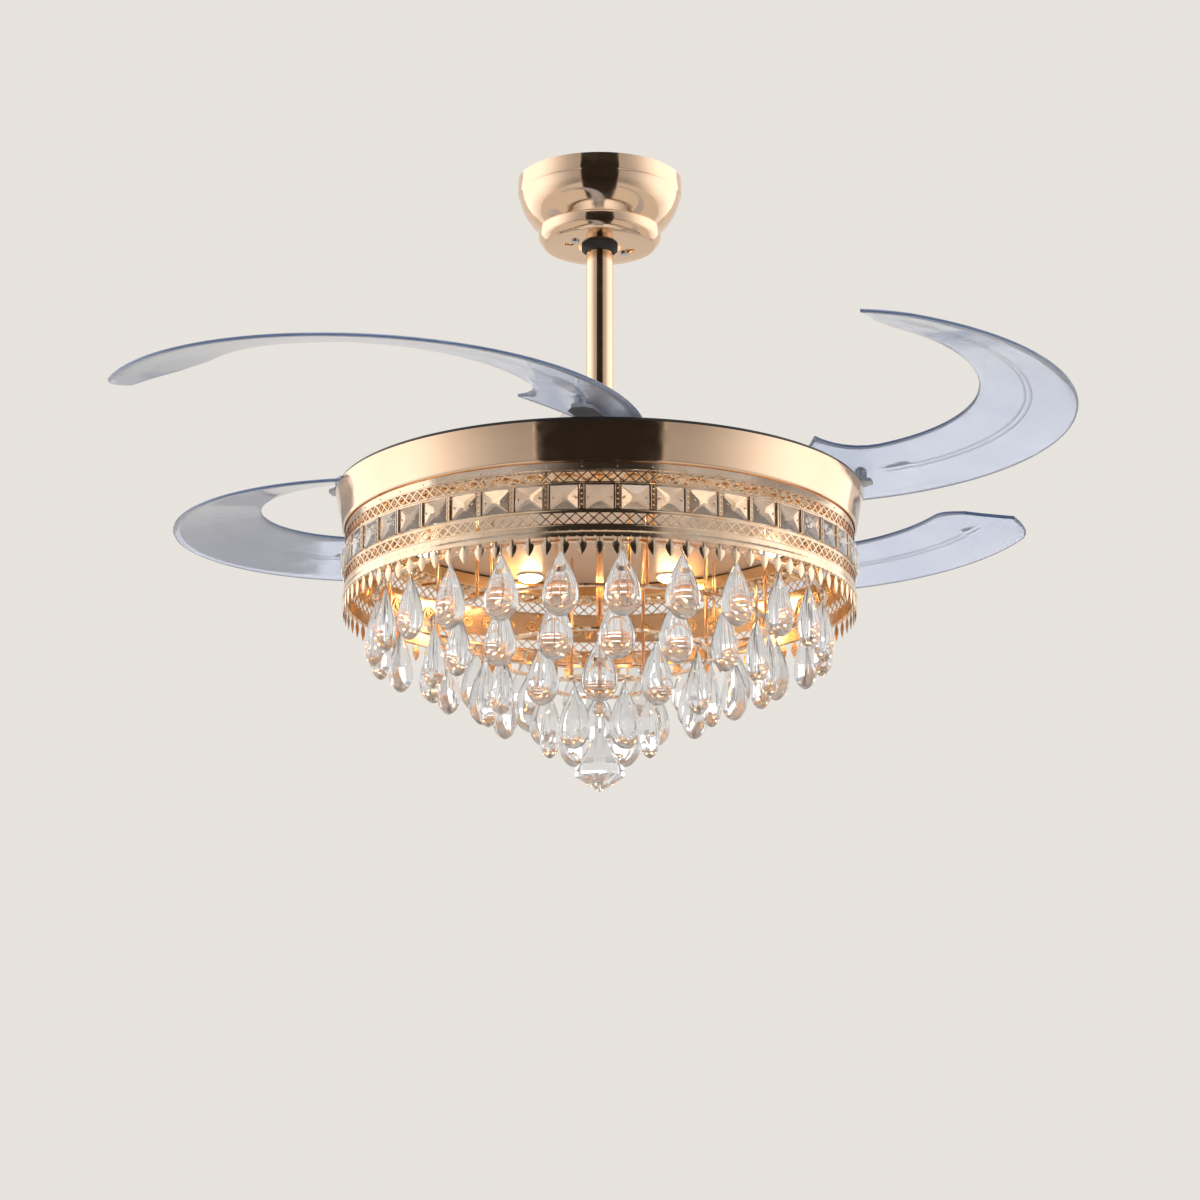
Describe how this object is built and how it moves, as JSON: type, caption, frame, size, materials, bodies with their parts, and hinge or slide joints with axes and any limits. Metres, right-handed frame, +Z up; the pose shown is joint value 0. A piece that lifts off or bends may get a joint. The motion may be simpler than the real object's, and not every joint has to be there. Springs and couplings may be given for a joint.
{
  "type": "retractable blade ceiling fan",
  "caption": "Ceiling fan on a downrod with four curved clear blades that fold over a gold drum lamp hung with tiers of crystal drops.",
  "frame": {"origin": "centre of the bracket's top face, in the ceiling plane", "axes": "+Z up along the downrod; -Y towards the picture's viewer; +X to the viewer's right"},
  "size_m": [0.874, 0.874, 0.607],
  "materials": {
    "gold": "polished, champagne rose gold",
    "pale_metal": "polished",
    "steel": "zinc plated",
    "cast_metal": "die cast, satin",
    "motor_iron": "laminated, varnished",
    "magnet": "sintered, nickel grey",
    "copper": "enamelled copper wire",
    "white_plastic": "moulded",
    "black_rubber": "matt",
    "black_trim": "gloss",
    "clear_blade": "clear acrylic with a faint blue tint",
    "crystal": "cut, polished",
    "frosted_lens": "frosted, warm white"
  },
  "bodies": {
    "ceiling": {"mounting_bracket": "steel", "canopy": "gold", "canopy_screws": "steel", "receiver_box": "white_plastic"},
    "mast": {"hanger_ball": "black_rubber", "ball_pin": "steel", "rod_collar": "black_rubber", "downrod": "gold", "rod_coupling": "steel", "coupling_screws": "steel", "motor_shaft": "steel", "stator_core": "motor_iron", "stator_windings": "copper", "bearing_inner_rings": "steel", "lamp_plate": "steel", "lamp_nuts": "steel", "gold_ring": "gold", "rim_bead": "black_trim", "crown_band": "gold", "square_crystals": "crystal", "leaf_fringe": "gold", "reflector_plate": "gold", "led_driver": "white_plastic", "light_boards": "white_plastic", "light_lenses": "frosted_lens", "tier_rings": "gold", "tier_posts": "gold", "drop_hooks": "gold", "finial_rod": "gold", "finial_crystal": "crystal", "drops_tier_1": "crystal", "drops_tier_2": "crystal", "drops_tier_3": "crystal", "drops_tier_4": "crystal"},
    "rotor": {"rotor_upper_shell": "cast_metal", "rotor_lower_shell": "cast_metal", "rotor_magnets": "magnet", "bearing_outer_rings": "steel", "bearing_balls": "steel", "hub_cover": "pale_metal", "hub_trim_ring": "gold", "blade_carrier": "steel", "carrier_screws": "steel", "pivot_bolts": "steel", "pivot_nuts": "steel", "return_springs": "steel", "ring_gear_rollers": "white_plastic"},
    "ring_gear": {"ring_gear": "white_plastic"},
    "blade_1": {"blade_1": "clear_blade", "blade_arm_1": "cast_metal", "blade_screws_1": "steel"},
    "blade_2": {"blade_2": "clear_blade", "blade_arm_2": "cast_metal", "blade_screws_2": "steel"},
    "blade_3": {"blade_3": "clear_blade", "blade_arm_3": "cast_metal", "blade_screws_3": "steel"},
    "blade_4": {"blade_4": "clear_blade", "blade_arm_4": "cast_metal", "blade_screws_4": "steel"}
  },
  "joints": [
    {"name": "hanger_tilt", "type": "hinge", "parent": "ceiling", "child": "mast", "pos_m": [0, 0, -0.033], "axis": [1, 0, 0], "range_deg": [-5, 5]},
    {"name": "rotor_spin", "type": "hinge", "parent": "mast", "child": "rotor", "pos_m": [0, 0, -0.296], "axis": [0, 0, 1], "continuous": true},
    {"name": "ring_gear_turn", "type": "hinge", "parent": "rotor", "child": "ring_gear", "pos_m": [0, 0, -0.315], "axis": [0, 0, 1], "range_deg": [-2, 19]},
    {"name": "blade_1_pivot", "type": "hinge", "parent": "rotor", "child": "blade_1", "pos_m": [0.204, 0, -0.306], "axis": [0, 0, 1], "range_deg": [-84.3, 5]},
    {"name": "blade_2_pivot", "type": "hinge", "parent": "rotor", "child": "blade_2", "pos_m": [0, -0.204, -0.306], "axis": [0, 0, 1], "range_deg": [-84.3, 5]},
    {"name": "blade_3_pivot", "type": "hinge", "parent": "rotor", "child": "blade_3", "pos_m": [-0.204, 0, -0.306], "axis": [0, 0, 1], "range_deg": [-84.3, 5]},
    {"name": "blade_4_pivot", "type": "hinge", "parent": "rotor", "child": "blade_4", "pos_m": [0, 0.204, -0.306], "axis": [0, 0, 1], "range_deg": [-84.3, 5]}
  ],
  "couplings": [
    {"joint": "blade_2_pivot", "follows": "blade_1_pivot", "ratio": 1},
    {"joint": "blade_3_pivot", "follows": "blade_1_pivot", "ratio": 1},
    {"joint": "blade_4_pivot", "follows": "blade_1_pivot", "ratio": 1},
    {"joint": "ring_gear_turn", "follows": "blade_1_pivot", "ratio": -0.21429}
  ]
}
